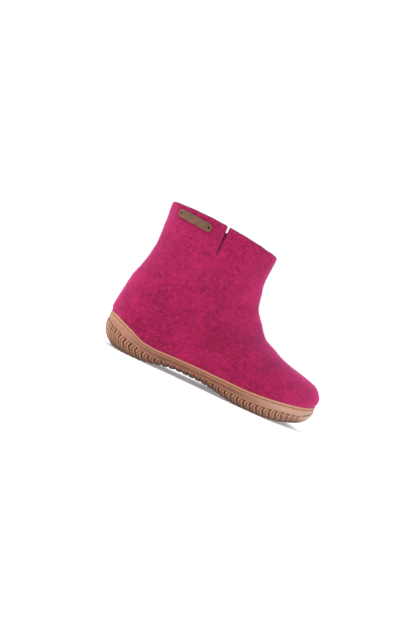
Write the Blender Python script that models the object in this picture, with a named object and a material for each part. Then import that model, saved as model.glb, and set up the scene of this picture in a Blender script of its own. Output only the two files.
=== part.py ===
"""Felt ankle slipper for the right foot: a seamless felt upper in a moulded rubber cup sole.

Sizes are in millimetres: along from the back of the heel, across from the foot's middle line, up
from the floor. The objects are in metres: +X to the toe, +Z up, -Y to the outer side of the foot.
"""
from collections import namedtuple
from math import cos, pi, radians, sin

import bmesh
import bpy
import numpy as np

MM = 0.001
OUTER, INNER = -1, 1      # sides of the foot along Y
FIT_GAP = 0.3             # air between two pieces
FACET_GAP = 0.2           # more of it where the flats of two curved pieces lie side by side

# Last: the plan shape that sole and upper share
LENGTH = 260.0
HEEL_HALF = 35.0          # half widths
BALL_HALF = 48.0
HEEL_CAP = 36.0           # length over which an end rounds off
TOE_CAP = 66.0
WIDENING = (0.30, 0.72)   # shares of the length between which heel width becomes ball width
TOE_SWING = 7.0           # the toe leans to the inner side
WAIST_SWING = 3.0         # the waist leans to the outer side

# Sole: heights of its lines, seen from the side
SideRow = namedtuple("SideRow", "along tread rib_top rim bed")
SIDE_ROWS = [
    SideRow(0, 12.0, 27.5, 37.0, 20.5),
    SideRow(9, 4.4, 24.5, 36.0, 18.6),
    SideRow(20, 1.0, 20.6, 32.4, 15.0),
    SideRow(34, 0.0, 16.0, 27.4, 12.3),
    SideRow(52, 0.0, 11.8, 20.8, 12.0),
    SideRow(66, 1.5, 10.3, 19.4, 12.4),
    SideRow(80, 4.4, 10.8, 19.8, 13.0),
    SideRow(98, 6.5, 11.8, 20.4, 13.2),
    SideRow(124, 6.3, 12.3, 20.8, 12.8),
    SideRow(144, 3.8, 11.4, 20.8, 11.6),
    SideRow(172, 0.0, 10.6, 20.6, 10.0),
    SideRow(198, 0.0, 11.4, 22.2, 10.0),
    SideRow(216, 1.6, 13.9, 24.2, 11.5),
    SideRow(240, 5.4, 17.0, 27.6, 15.5),
    SideRow(250, 10.2, 19.8, 29.8, 18.5),
    SideRow(260, 18.0, 27.0, 33.2, 23.0),
]
CUP_WALL = 2.6            # rubber beside the upper
LIP_HEIGHT = 2.6
LIP_ROUND = 0.7
GROOVE_DEPTH = 0.9        # fine groove under the lip
GROOVE_HEIGHT = 0.9
LIP_INSET = 0.4
BAND_INSET = 0.5          # the plain band lies behind the ribs
BED_LANES = 4             # strips across the cup's floor

# Ribs: they run down the side in a zigzag, turn under the edge and cross the sole
RIBS_A_SIDE = 40
RIB_MARKS = (0.0, 0.62, 0.81)     # crest start, crest end and valley, as shares of the pitch
RIB_DEPTH = 1.6
TREAD_DEPTH = 2.0
SIDE_TURN = 7.0                   # from the outline in to where the underside starts
END_TURN = 15.0                   # the same at heel back and toe, which round off more
HEEL_ROUND = (10.0, 40.0)         # where the heel's turn becomes the side's
TOE_ROUND = (215.0, 245.0)
ZIGZAG = 2.2                      # sway of a rib on a side as high as ZIGZAG_HEIGHT
ZIGZAG_HEIGHT = 16.0
TREAD_ZIGZAG = 2.0
TREAD_LANES = 8                   # strips across the underside
HEEL_FADE = 7.0                   # length over which a rib grows from the plain heel back
TOE_PLAIN = (240.0, 250.0)        # the ribs fade out at the toe
HEEL_PLAIN_UNDER = (15.0, 25.0)
TOE_PLAIN_UNDER = (226.0, 240.0)
# Rows of a rib: shares of height, turn and zigzag, degrees, and where the heel back stops being plain
RibRow = namedtuple("RibRow", "drop inset sway tilt plain")
RIB_ROWS = [
    RibRow(0.06, 0.00, 0.0, 0, 3.0),
    RibRow(0.30, 0.05, -1.0, 5, 2.0),
    RibRow(0.52, 0.18, -0.2, 20, -1.0),
    RibRow(0.78, 0.46, 0.9, 50, -4.0),
    RibRow(1.00, 1.00, 1.0, 90, -4.0),
]

# Upper: the wall stands in the cup, swells over the lip and rises through tilted sections
WALL = 3.5
COLUMNS_A_SIDE = 32
EdgeRow = namedtuple("EdgeRow", "inset line rise")      # heights measured from a line of the sole
EDGE_ROWS = [
    EdgeRow(CUP_WALL + FIT_GAP + FACET_GAP, "bed", FIT_GAP + FACET_GAP),
    EdgeRow(CUP_WALL + FIT_GAP + FACET_GAP, "rim", 0.5),
    EdgeRow(0.8, "rim", 0.6),
    EdgeRow(0.2, "rim", 4.0),
    EdgeRow(0.0, "rim", 9.0),
]
Section = namedtuple(
    "Section", "back_along back_up front_along front_up rear fore back_cap front_cap sag swing")
SOLE_EDGE = Section(0, 0, LENGTH, 0, HEEL_HALF, BALL_HALF, HEEL_CAP, TOE_CAP, 0, 1.0)
TOE_TOP = Section(0.8, 55, 248, 54.6, 35.5, 47, 40, 110, 12, 1.0)
VAMP = Section(3.0, 69, 210, 63.4, 36, 42, 44, 92, 5, 0.9)
INSTEP = Section(6.0, 85, 176, 78.6, 36, 36, 48, 80, 0, 0.7)
THROAT = Section(11.0, 103, 157, 100, 36, 34, 52, 74, 0, 0.4)
ANKLE = Section(15.5, 123, 148.4, 122, 36.5, 35.5, 60, 68, 0, 0.2)
SHAFT = Section(16.0, 139.5, 146.2, 137.5, 37.5, 37.5, 64, 66, 0, 0.0)
COLLAR = Section(12.4, 178.2, 148.4, 168.3, 39, 39, 67, 67, -1.7, 0.0)
SECTIONS = [TOE_TOP, VAMP, INSTEP, THROAT, ANKLE, SHAFT, COLLAR]
SECTION_STEPS = [3, 2, 2, 2, 2, 2, 3]                   # rows of faces up to each section

# Slit in the collar: it parts the middle column of the outer side above the shaft section
SLIT_WIDTH = 2.4
SLIT_TAPER = 28.0         # it opens to its full width over this height
COLUMN_LEAD = 0.019       # moves that column forward to the slit, as a share of the side's length

# Insole
INSOLE_THICK = 4.0
INSOLE_INSET = CUP_WALL + FIT_GAP + FACET_GAP + WALL + 0.6
INSOLE_COLUMNS_A_SIDE = 24
INSOLE_LANES = 4
INSOLE_EDGE = 1.0         # rounding of its upper edge

# Leather tag on the collar
TAG_LENGTH = 43.0
TAG_HEIGHT = 9.3
TAG_THICK = 1.6
TAG_CLIP = 2.4            # clipped corners
TAG_START = 29.5          # along the collar from its back
TAG_MIDDLE_UP = 168.6     # middle of the tag at its rear end
TAG_SLOPE = 0.11          # it falls this much per millimetre towards the front
TAG_LIFT = FIT_GAP + 0.1  # its back over the felt
TAG_HOLE = 2.4
TAG_HOLE_INSET = 3.2
TAG_HOLE_SIDES = 10
TAG_BENDS = 10

FELT = "#AC2857"
RUBBER = "#B58B72"
INSOLE_FELT = "#B9B0A6"
LEATHER = "#7F5E4D"


def smooth_step(value, start, end):
    share = np.clip((value - start) / (end - start), 0, 1)
    return share * share * (3 - 2 * share)


def monotone_curve(knots, heights, at):
    """Smooth curve through a table that never overshoots it, so its level stretches stay level."""
    knots = np.asarray(knots, float)
    heights = np.asarray(heights, float)
    steps = np.diff(knots)
    slopes = np.diff(heights) / steps
    before, after = slopes[:-1], slopes[1:]
    tangents = np.concatenate([slopes[:1], np.zeros(len(before)), slopes[-1:]])
    same_way = before * after > 0
    np.divide(2 * before * after, before + after, out=tangents[1:-1], where=same_way)
    left = np.clip(np.searchsorted(knots, at, side="right") - 1, 0, len(steps) - 1)
    share = (np.asarray(at, float) - knots[left]) / steps[left]
    rest = 1 - share
    return (heights[left] * (1 + 2 * share) * rest ** 2
            + steps[left] * tangents[left] * share * rest ** 2
            + heights[left + 1] * (3 - 2 * share) * share ** 2
            - steps[left] * tangents[left + 1] * rest * share ** 2)


def side_line(name, along):
    """Height of one of the sole's lines at a distance from the heel."""
    knots = [row.along for row in SIDE_ROWS]
    heights = [getattr(row, name) for row in SIDE_ROWS]
    return monotone_curve(knots, heights, np.clip(along, 0, LENGTH))


def swing(along):
    """Sideways lean of the foot's middle line, which makes this a right shoe."""
    share = along / LENGTH
    return TOE_SWING * share ** 3 - WAIST_SWING * np.sin(pi * np.clip(share, 0, 1))


def round_end(distance, reach):
    """From 0 at an end to 1 a reach away, along a quarter ellipse."""
    left = np.clip(1 - distance / reach, 0, 1)
    return np.sqrt(1 - left ** 2)


def run_lengths(points):
    """Length of a line of points up to each of them."""
    steps = np.linalg.norm(np.diff(points, axis=0), axis=1)
    return np.concatenate([[0], np.cumsum(steps)])


def section_side(section, side, count=400, lead=0.0):
    """One side of a section from back to front, as even points that a lead shifts to the front."""
    share = (1 - np.cos(np.linspace(0, pi, count))) / 2
    length = section.front_along - section.back_along
    along = section.back_along + length * share
    half = section.rear + (section.fore - section.rear) * smooth_step(share, *WIDENING)
    half = half * round_end(length * share, section.back_cap)
    half = half * round_end(length * (1 - share), section.front_cap)
    across = side * half + section.swing * swing(along)
    up = section.back_up + (section.front_up - section.back_up) * share
    up = up - section.sag * np.sin(pi * share)
    points = np.column_stack([along, across, up])
    lengths = run_lengths(points)
    even = np.linspace(0, 1, count)
    wanted = (even + lead * np.sin(pi * even)) * lengths[-1]
    return np.column_stack([np.interp(wanted, lengths, column) for column in points.T])


EDGE_SIDES = {side: section_side(SOLE_EDGE, side) for side in (OUTER, INNER)}
MIDDLE_ACROSS = (EDGE_SIDES[OUTER][:, 1].min() + EDGE_SIDES[INNER][:, 1].max()) / 2
EDGE_LENGTH = {side: run_lengths(points)[-1] for side, points in EDGE_SIDES.items()}


def edge_point(side, share, inset):
    """Plan point on the sole's outline, or a given distance inside it. Share runs heel to toe."""
    points = EDGE_SIDES[side]
    shares = np.linspace(0, 1, len(points))
    tangents = np.gradient(points, axis=0)
    tangents[0] = (0, side, 0)        # both ends run square across the shoe
    tangents[-1] = (0, -side, 0)
    along, across = (np.interp(share, shares, points[:, axis]) for axis in (0, 1))
    run_along, run_across = (np.interp(share, shares, tangents[:, axis]) for axis in (0, 1))
    scale = side * inset / np.hypot(run_along, run_across)
    return along + run_across * scale, across - run_along * scale


def both_sides(count):
    """Side and share of each point of a closed row: heel to toe outside, toe to heel inside."""
    outer = [(OUTER, step / count) for step in range(count + 1)]
    inner = [(INNER, step / count) for step in range(count - 1, 0, -1)]
    return outer + inner


def edge_row(count, inset, line, rise):
    """Closed row that follows the sole's outline, at a height above one of the sole's lines."""
    row = []
    for side, share in both_sides(count):
        along, across = edge_point(side, share, inset)
        row.append((along, across, side_line(line, along) + rise))
    return row


def place(along, across, up):
    return ((along - LENGTH / 2) * MM, (across - MIDDLE_ACROSS) * MM, up * MM)


def add_row(mesh, points):
    return [mesh.verts.new(place(*point)) for point in points]


def skin(mesh, lower, upper, lower_ends=None, upper_ends=None):
    """Faces between two closed rows of the same count. Ends hold other far corners, as at a slit."""
    lower_ends = lower_ends or lower
    upper_ends = upper_ends or upper
    for step in range(len(lower)):
        after = (step + 1) % len(lower)
        mesh.faces.new((lower[step], lower_ends[after], upper_ends[after], upper[step]))


def skin_fans(mesh, fine, coarse):
    """Faces between a closed row and one with a third of its points."""
    each = len(fine) // len(coarse)
    for step, corner in enumerate(coarse):
        group = [fine[(step * each + offset) % len(fine)] for offset in range(each + 1)]
        next_corner = coarse[(step + 1) % len(coarse)]
        for near, far in zip(group[:-2], group[1:-1]):
            mesh.faces.new((near, far, corner))
        mesh.faces.new((group[-2], next_corner, corner))
        mesh.faces.new((group[-2], group[-1], next_corner))


def close_across(mesh, row, lanes, point_between):
    """Fill a closed row with strips that run across from its outer side to its inner side."""
    half = len(row) // 2
    rungs = [[row[0]] * (lanes + 1)]
    for step in range(1, half):
        outer, inner = row[step], row[-step]
        between = [mesh.verts.new(point_between(step, outer.co, inner.co, lane / lanes))
                   for lane in range(1, lanes)]
        rungs.append([outer] + between + [inner])
    rungs.append([row[half]] * (lanes + 1))
    for rung, after in zip(rungs, rungs[1:]):
        for lane in range(lanes):
            corners = (rung[lane], rung[lane + 1], after[lane + 1], after[lane])
            mesh.faces.new(list(dict.fromkeys(corners)))


def add_piece(name, mesh, colour, roughness):
    """Turn a finished mesh into a named object with a material of its own."""
    bmesh.ops.recalc_face_normals(mesh, faces=mesh.faces)
    data = bpy.data.meshes.new(name)
    mesh.to_mesh(data)
    mesh.free()
    piece = bpy.data.objects.new(name, data)
    bpy.context.scene.collection.objects.link(piece)
    material = bpy.data.materials.new(name + "_material")
    material.use_nodes = True
    surface = material.node_tree.nodes["Principled BSDF"]
    levels = [int(colour[start:start + 2], 16) / 255 for start in (1, 3, 5)]
    surface.inputs["Base Color"].default_value = [level ** 2.2 for level in levels] + [1]
    surface.inputs["Roughness"].default_value = roughness
    data.materials.append(material)
    return piece


def plateau(along, rise, fall):
    """1 along the middle of the shoe, 0 before the rise at the heel and after the fall at the toe."""
    return smooth_step(along, *rise) * (1 - smooth_step(along, *fall))


def edge_turn(along):
    return END_TURN + (SIDE_TURN - END_TURN) * plateau(along, HEEL_ROUND, TOE_ROUND)


def rib_ring(rib_row):
    """One closed row of the ribbed side, with a valley after each crest."""
    marks = len(RIB_MARKS)
    row = []
    for side, share in both_sides(RIBS_A_SIDE * marks):
        step = round(share * RIBS_A_SIDE * marks)
        share = (step // marks + RIB_MARKS[step % marks]) / RIBS_A_SIDE
        along, _ = edge_point(side, share, 0)
        turn = edge_turn(along)
        foot_along, _ = edge_point(side, share, turn)
        foot = side_line("tread", foot_along)
        top = side_line("rib_top", along)
        fade = plateau(along, (rib_row.plain, rib_row.plain + HEEL_FADE), TOE_PLAIN)
        sway = ZIGZAG * rib_row.sway * fade * min(1, (top - foot) / ZIGZAG_HEIGHT)
        depth = RIB_DEPTH * fade if step % marks == marks - 1 else 0
        tilt = radians(rib_row.tilt)
        inset = turn * rib_row.inset + depth * cos(tilt)
        at, across = edge_point(side, share + sway / EDGE_LENGTH[side], inset)
        if rib_row.drop == 1:
            foot = side_line("tread", at)
        row.append((at, across, top + (foot - top) * rib_row.drop + depth * sin(tilt)))
    return row


def tread_point(step, outer, inner, share):
    """Point of the underside on a rung between two edge points; each third rung is a valley."""
    lane = round(share * TREAD_LANES)
    middle = outer.lerp(inner, share)
    width = (inner - outer).length / (2 * BALL_HALF * MM)
    fade = plateau(middle.x / MM + LENGTH / 2, HEEL_PLAIN_UNDER, TOE_PLAIN_UNDER)
    sway = TREAD_ZIGZAG * MM * width * fade * (-1) ** lane
    along = (middle.x + sway) / MM + LENGTH / 2
    valley = step % len(RIB_MARKS) == len(RIB_MARKS) - 1
    depth = TREAD_DEPTH * fade if valley else 0
    return middle.x + sway, middle.y, (side_line("tread", along) + depth) * MM


def bed_point(_, outer, inner, share):
    """Point of the cup's floor."""
    middle = outer.lerp(inner, share)
    return middle.x, middle.y, side_line("bed", middle.x / MM + LENGTH / 2) * MM


def build_outsole():
    mesh = bmesh.new()
    ribs = [add_row(mesh, rib_ring(rib_row)) for rib_row in reversed(RIB_ROWS)]
    close_across(mesh, ribs[0], TREAD_LANES, tread_point)
    for lower, upper in zip(ribs, ribs[1:]):
        skin(mesh, lower, upper)
    groove_up = -LIP_HEIGHT - GROOVE_HEIGHT / 2
    plain_rows = [
        (BAND_INSET, "rib_top", 0.0),
        (LIP_INSET, "rim", -LIP_HEIGHT - GROOVE_HEIGHT),
        (LIP_INSET + GROOVE_DEPTH, "rim", groove_up),
        (LIP_INSET, "rim", -LIP_HEIGHT),
        (LIP_INSET, "rim", -LIP_ROUND),
        (LIP_INSET + LIP_ROUND, "rim", 0.0),
        (CUP_WALL, "rim", 0.0),
        (CUP_WALL, "bed", 0.0),
    ]
    rows = [add_row(mesh, edge_row(RIBS_A_SIDE, *plain_row)) for plain_row in plain_rows]
    skin_fans(mesh, ribs[-1], rows[0])
    for lower, upper in zip(rows, rows[1:]):
        skin(mesh, lower, upper)
    close_across(mesh, rows[-1], BED_LANES, bed_point)
    return add_piece("outsole", mesh, RUBBER, 0.55)


def smooth_between(before, low, high, after, share):
    """Row between two rows of points, on the smooth curve that their neighbours ask for."""
    pull_low = (high - before) / 2
    pull_high = (after - low) / 2
    rest = 1 - share
    return (low * (1 + 2 * share) * rest ** 2 + pull_low * share * rest ** 2
            + high * (3 - 2 * share) * share ** 2 - pull_high * rest * share ** 2)


def upper_rows():
    """Closed rows of the upper's outside, from inside the cup to the collar."""
    keys = [np.array(edge_row(COLUMNS_A_SIDE, *row)) for row in EDGE_ROWS]
    for section in SECTIONS:
        outer = section_side(section, OUTER, COLUMNS_A_SIDE + 1, COLUMN_LEAD)
        inner = section_side(section, INNER, COLUMNS_A_SIDE + 1)
        keys.append(np.concatenate([outer, inner[-2:0:-1]]))
    rows = keys[:len(EDGE_ROWS)]
    keys.append(2 * keys[-1] - keys[-2])
    for index, steps in enumerate(SECTION_STEPS, start=len(EDGE_ROWS)):
        neighbours = keys[index - 2:index + 2]
        rows += [smooth_between(*neighbours, step / steps) for step in range(1, steps + 1)]
    return rows


def build_upper(rows):
    mesh = bmesh.new()
    slit_column = COLUMNS_A_SIDE // 2
    slit_foot = rows[-1 - SECTION_STEPS[-1]][slit_column][2]
    starts = []
    ends = []
    for row in rows:
        along, across, up = row[slit_column]
        half = SLIT_WIDTH / 2 * min(1, (up - slit_foot) / SLIT_TAPER)
        ring = add_row(mesh, row)
        starts.append(ring)
        ends.append(list(ring))
        if half > 0:
            ring[slit_column].co = place(along + half, across, up)
            ends[-1][slit_column] = mesh.verts.new(place(along - half, across, up))
    for level in range(len(rows) - 1):
        skin(mesh, starts[level], starts[level + 1], ends[level], ends[level + 1])
    piece = add_piece("upper", mesh, FELT, 0.95)
    wall = piece.modifiers.new("wall", "SOLIDIFY")
    wall.thickness = WALL * MM
    wall.offset = -1
    wall.use_even_offset = True
    return piece


def insole_point(rise):
    """Point of the insole's flat faces, a given height over the cup's floor."""
    def point(_, outer, inner, share):
        middle = outer.lerp(inner, share)
        return middle.x, middle.y, (side_line("bed", middle.x / MM + LENGTH / 2) + rise) * MM
    return point


def build_insole():
    mesh = bmesh.new()
    foot = FIT_GAP + FACET_GAP
    top = foot + INSOLE_THICK
    rows = [add_row(mesh, edge_row(INSOLE_COLUMNS_A_SIDE, inset, "bed", rise)) for inset, rise in (
        (INSOLE_INSET, foot),
        (INSOLE_INSET, top - INSOLE_EDGE),
        (INSOLE_INSET + INSOLE_EDGE, top),
    )]
    for lower, upper in zip(rows, rows[1:]):
        skin(mesh, lower, upper)
    close_across(mesh, rows[0], INSOLE_LANES, insole_point(foot))
    close_across(mesh, rows[-1], INSOLE_LANES, insole_point(top))
    return add_piece("insole", mesh, INSOLE_FELT, 0.9)


def wall_across(rows, along, up):
    """Where the upper's outer side lies at a distance from the heel and a height."""
    ups = []
    acrosses = []
    for row in rows[-4:]:
        outer = row[:COLUMNS_A_SIDE + 1]
        ups.append(np.interp(along, outer[:, 0], outer[:, 2]))
        acrosses.append(np.interp(along, outer[:, 0], outer[:, 1]))
    return np.interp(up, ups, acrosses)


def tag_place(rows, run, rise, lift):
    """Scene point on the bent tag: run along the collar, rise from its middle, lift off the felt."""
    outer = rows[-1][:COLUMNS_A_SIDE + 1]
    along = np.interp(TAG_START + run, run_lengths(outer[:, :2]), outer[:, 0])
    up = TAG_MIDDLE_UP + rise - TAG_SLOPE * run
    slope_along = wall_across(rows, along + 2, up) - wall_across(rows, along - 2, up)
    slope_up = wall_across(rows, along, up + 2) - wall_across(rows, along, up - 2)
    normal = np.array([slope_along / 4, -1, slope_up / 4])
    normal = normal / np.linalg.norm(normal)
    base = np.array([along, wall_across(rows, along, up), up])
    return place(*(base + normal * lift))


def build_tag(rows):
    mesh = bmesh.new()
    half = TAG_HEIGHT / 2
    outline = [
        (TAG_CLIP, -half), (TAG_LENGTH - TAG_CLIP, -half),
        (TAG_LENGTH, -half + TAG_CLIP), (TAG_LENGTH, half - TAG_CLIP),
        (TAG_LENGTH - TAG_CLIP, half), (TAG_CLIP, half),
        (0, half - TAG_CLIP), (0, -half + TAG_CLIP),
    ]
    loops = [outline]
    for hole_run in (TAG_HOLE_INSET, TAG_LENGTH - TAG_HOLE_INSET):
        turns = [2 * pi * step / TAG_HOLE_SIDES for step in range(TAG_HOLE_SIDES)]
        loops.append([(hole_run + TAG_HOLE / 2 * cos(turn), TAG_HOLE / 2 * sin(turn))
                      for turn in turns])
    edges = []
    for points in loops:
        corners = [mesh.verts.new((run, rise, 0)) for run, rise in points]
        for near, far in zip(corners, corners[1:] + corners[:1]):
            edges.append(mesh.edges.new((near, far)))
    bmesh.ops.triangle_fill(mesh, edges=edges, use_beauty=True)
    for bend in range(1, TAG_BENDS):
        everything = mesh.verts[:] + mesh.edges[:] + mesh.faces[:]
        bmesh.ops.bisect_plane(mesh, geom=everything, plane_co=(TAG_LENGTH * bend / TAG_BENDS, 0, 0),
                               plane_no=(1, 0, 0), dist=1e-4)
    backs = mesh.verts[:]
    grown = bmesh.ops.extrude_face_region(mesh, geom=mesh.faces[:], use_keep_orig=True)
    fronts = [item for item in grown["geom"] if isinstance(item, bmesh.types.BMVert)]
    for verts, lift in ((backs, TAG_LIFT), (fronts, TAG_LIFT + TAG_THICK)):
        for vert in verts:
            vert.co = tag_place(rows, vert.co.x, vert.co.y, lift)
    return add_piece("collar_tag", mesh, LEATHER, 0.6)


for old in list(bpy.data.objects):
    bpy.data.objects.remove(old, do_unlink=True)
UPPER_ROWS = upper_rows()
build_outsole()
build_upper(UPPER_ROWS)
build_insole()
build_tag(UPPER_ROWS)
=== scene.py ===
# %% [markdown]
# # A felt ankle slipper
# The real slipper has an upper of thick wool felt, shaped wet on a last so that it needs no seam,
# and a moulded rubber sole whose low wall holds the felt like a cup. A small leather tag sits on
# the collar. The solids of the CAD model fix every place and size, so this lesson loads them first
# and then gives each one its soft edges, its folds and its surface.

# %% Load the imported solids
from collections import namedtuple
from math import cos, radians, sin

import bpy
import numpy as np
from mathutils import Matrix, Vector
from mathutils.bvhtree import BVHTree
from mathutils.kdtree import KDTree


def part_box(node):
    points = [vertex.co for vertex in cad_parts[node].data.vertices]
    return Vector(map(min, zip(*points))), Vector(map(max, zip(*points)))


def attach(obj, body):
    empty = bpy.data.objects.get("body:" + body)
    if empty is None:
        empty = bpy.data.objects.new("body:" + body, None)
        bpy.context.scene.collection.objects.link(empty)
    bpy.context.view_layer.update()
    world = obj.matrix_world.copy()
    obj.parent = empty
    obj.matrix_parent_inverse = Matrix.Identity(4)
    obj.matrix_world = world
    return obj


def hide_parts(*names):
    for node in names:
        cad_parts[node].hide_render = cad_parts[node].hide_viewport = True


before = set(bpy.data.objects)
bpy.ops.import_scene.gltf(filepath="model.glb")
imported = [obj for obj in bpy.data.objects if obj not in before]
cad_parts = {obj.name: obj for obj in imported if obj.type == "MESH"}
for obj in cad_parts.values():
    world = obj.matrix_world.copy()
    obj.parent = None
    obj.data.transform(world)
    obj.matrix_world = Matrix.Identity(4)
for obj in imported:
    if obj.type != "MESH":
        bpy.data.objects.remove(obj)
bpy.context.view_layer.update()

MM = 0.001
for node_name in sorted(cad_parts):
    low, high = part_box(node_name)
    print(node_name, "spans", [round(size / MM, 1) for size in high - low], "mm")

# %% [markdown]
# ## A few hand tools
# Each solid arrives as loose triangles. A copy is merged and turned back into four-sided faces,
# because Subdivision Surface rounds those evenly, while it puckers around triangles. The other
# tools here read and write all points of a piece at once, and apply a modifier as by hand.

# %% Copy a solid into a piece that can be shaped
MERGE_GAP = 0.002 * MM
QUAD_BEND = radians(60)       # two triangles may fold this much and still make one face
QUAD_SKEW = radians(70)       # and that face's corners may be this far from square


def copy_solid(node_name, piece_name):
    """New piece with the shape of a solid, merged and made of four-sided faces."""
    bpy.ops.object.select_all(action="DESELECT")
    piece = bpy.data.objects.new(piece_name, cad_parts[node_name].data.copy())
    bpy.context.scene.collection.objects.link(piece)
    bpy.context.view_layer.objects.active = piece
    piece.select_set(True)
    piece.data.materials.clear()
    bpy.ops.mesh.customdata_custom_splitnormals_clear()
    bpy.ops.object.mode_set(mode="EDIT")
    bpy.ops.mesh.select_all(action="SELECT")
    bpy.ops.mesh.remove_doubles(threshold=MERGE_GAP)
    bpy.ops.mesh.tris_convert_to_quads(face_threshold=QUAD_BEND, shape_threshold=QUAD_SKEW)
    bpy.ops.object.mode_set(mode="OBJECT")
    bpy.ops.object.shade_smooth()
    corners = [len(face.vertices) for face in piece.data.polygons]
    print(piece_name, "has", corners.count(4), "four-sided faces and", corners.count(3), "triangles")
    return piece


# %% Read, write and finish a piece
def apply_modifier(piece, kind, **settings):
    """Add a modifier with its settings and make its result the piece's own mesh."""
    modifier = piece.modifiers.new(kind.lower(), kind)
    for name, value in settings.items():
        setattr(modifier, name, value)
    bpy.context.view_layer.objects.active = piece
    bpy.ops.object.modifier_apply(modifier=modifier.name)


def read_vectors(piece, name):
    """All places or all normals of a piece's points: name is co or normal."""
    numbers = np.empty(3 * len(piece.data.vertices))
    piece.data.vertices.foreach_get(name, numbers)
    return numbers.reshape(-1, 3)


def write_points(piece, points):
    piece.data.vertices.foreach_set("co", np.ravel(points))
    piece.data.update()


def write_attribute(piece, name, values):
    """One number a point, which a material can read by its name."""
    attribute = piece.data.attributes.new(name, "FLOAT", "POINT")
    attribute.data.foreach_set("value", np.asarray(values, np.float32))


def solid_tree(node_name):
    """Search tree of a solid, for distances to it."""
    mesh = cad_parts[node_name].data
    return BVHTree.FromPolygons([v.co for v in mesh.vertices], [p.vertices for p in mesh.polygons])


def distances(tree, points):
    return np.array([tree.find_nearest(point)[3] for point in points])


def smooth_step(value, start, end):
    share = np.clip((value - start) / (end - start), 0, 1)
    return share * share * (3 - 2 * share)


def finish_piece(piece, material, slot, *nodes):
    """Give a finished piece its material and its body, and hide the solids that it stands for."""
    piece.data.materials.clear()
    piece.data.materials.append(material)
    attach(piece, "root")
    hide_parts(*nodes)
    triangles = sum(len(face.vertices) - 2 for face in piece.data.polygons)
    print(piece.name, "is finished with", triangles, "triangles")


# %% [markdown]
# ## Shader tools
# Every colour below is an sRGB hex value, as a colour picker shows it, and one function turns it
# into the linear numbers that shaders work in. Every shader node is added by one other function,
# which takes the node's settings and its links together, so that a material reads as a short list.

# %% Colours and nodes
MIX_FACTOR, MIX_A, MIX_B, MIX_RESULT = 0, 6, 7, 2      # sockets of a Mix node that mixes colours


def colour(hex_code):
    """Linear colour with full opacity from an sRGB hex code."""
    levels = [int(hex_code[start:start + 2], 16) / 255 for start in (1, 3, 5)]
    linear = [level / 12.92 if level <= 0.04045 else ((level + 0.055) / 1.055) ** 2.4
              for level in levels]
    return (*linear, 1.0)


def new_material(name):
    material = bpy.data.materials.new(name)
    material.use_nodes = True
    material.node_tree.nodes.clear()
    return material


def add_node(material, kind, settings, links=None):
    """Add a shader node. Settings are its options and inputs, links the outputs that feed it."""
    tree = material.node_tree
    node = tree.nodes.new("ShaderNode" + kind)
    for name, value in settings.items():
        if isinstance(name, str) and hasattr(node, name):
            setattr(node, name, value)
        else:
            node.inputs[name].default_value = value
    for name, output in (links or {}).items():
        tree.links.new(output, node.inputs[name])
    return node


# %% [markdown]
# ## The upper's soft shape
# The felt is one thick sheet, so its cut edges at the collar and the slit are square with a small
# rounding, and everything else flows. Creases on edges tell Subdivision Surface which of them stay:
# full ones where the felt stands in the cup, so that it keeps clear of the rubber, and weak ones at
# the cut edges, so that only their corners are rounded.

# %% Round the upper
CUP_REACH = 0.8 * MM          # points nearer to the rubber than this stand in the cup
CUT_ANGLE = radians(50)
CUT_CREASE = 0.36

upper = copy_solid("upper", "upper_felt")
sole_tree = solid_tree("outsole")
in_cup = distances(sole_tree, read_vectors(upper, "co")) < CUP_REACH


def side_faces(piece):
    """Normals of the faces beside each edge, by the edge's two points."""
    sides = {}
    for face in piece.data.polygons:
        for key in face.edge_keys:
            sides.setdefault(key, []).append(face.normal)
    return sides


def crease_edges(piece, crease_of):
    """Set each edge's crease from its two points and the angle between its faces."""
    mesh = piece.data
    sides = side_faces(piece)
    creases = []
    for edge in mesh.edges:
        normals = sides[tuple(sorted(edge.vertices))]
        angle = normals[0].angle(normals[-1], 0)
        creases.append(crease_of(edge.vertices[0], edge.vertices[1], angle, normals))
    attribute = mesh.attributes.new("crease_edge", "FLOAT", "EDGE")
    attribute.data.foreach_set("value", np.array(creases, np.float32))
    print(piece.name, "keeps", np.count_nonzero(creases), "edges")


def felt_crease(near, far, angle, normals):
    if in_cup[near] and in_cup[far]:
        return 1.0
    return CUT_CREASE if angle > CUT_ANGLE else 0.0


crease_edges(upper, felt_crease)
apply_modifier(upper, "SUBSURF", levels=2, render_levels=2)

# %% [markdown]
# ## Felt against rubber
# Rounding has drawn the felt in a little, so it is swollen back to its size. Its lower edge then
# settles on the lip of the sole. To tell the outside of the felt from its inside, a ray leaves each
# point along its normal: inside the shoe it meets the opposite wall. In the open shaft a ray may
# leave through the collar, so there the inside is what faces the middle of the shaft. Felt close to
# the insole counts as inside too, because rays can leave through the open bottom.

# %% Tell the inside of the felt from its outside
LENGTH = 260.0                # of the shoe, in millimetres
RAY_START = 0.5 * MM
SHAFT_START = 95.0            # up from the floor, in millimetres
SHAFT_MIDDLE = (80.0, 0.0)    # along and across
INSOLE_REACH = 5.0 * MM


def shoe_sizes(points):
    """Scene points in metres as millimetres along from the heel, across and up."""
    return points / MM + (LENGTH / 2, 0, 0)


points = read_vectors(upper, "co")
normals = read_vectors(upper, "normal")
sizes = shoe_sizes(points)
wall_tree = BVHTree.FromPolygons(points.tolist(), [face.vertices[:] for face in upper.data.polygons])
inside = np.array([
    wall_tree.ray_cast(Vector(point + normal * RAY_START), Vector(normal))[0] is not None
    for point, normal in zip(points, normals)])
faces_middle = (normals[:, :2] * (SHAFT_MIDDLE - sizes[:, :2])).sum(axis=1) > 0
inside = np.where(sizes[:, 2] > SHAFT_START, faces_middle, inside)
inside |= distances(solid_tree("insole"), points) < INSOLE_REACH
print("inside the shoe:", np.count_nonzero(inside), "of", len(points), "points")

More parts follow.
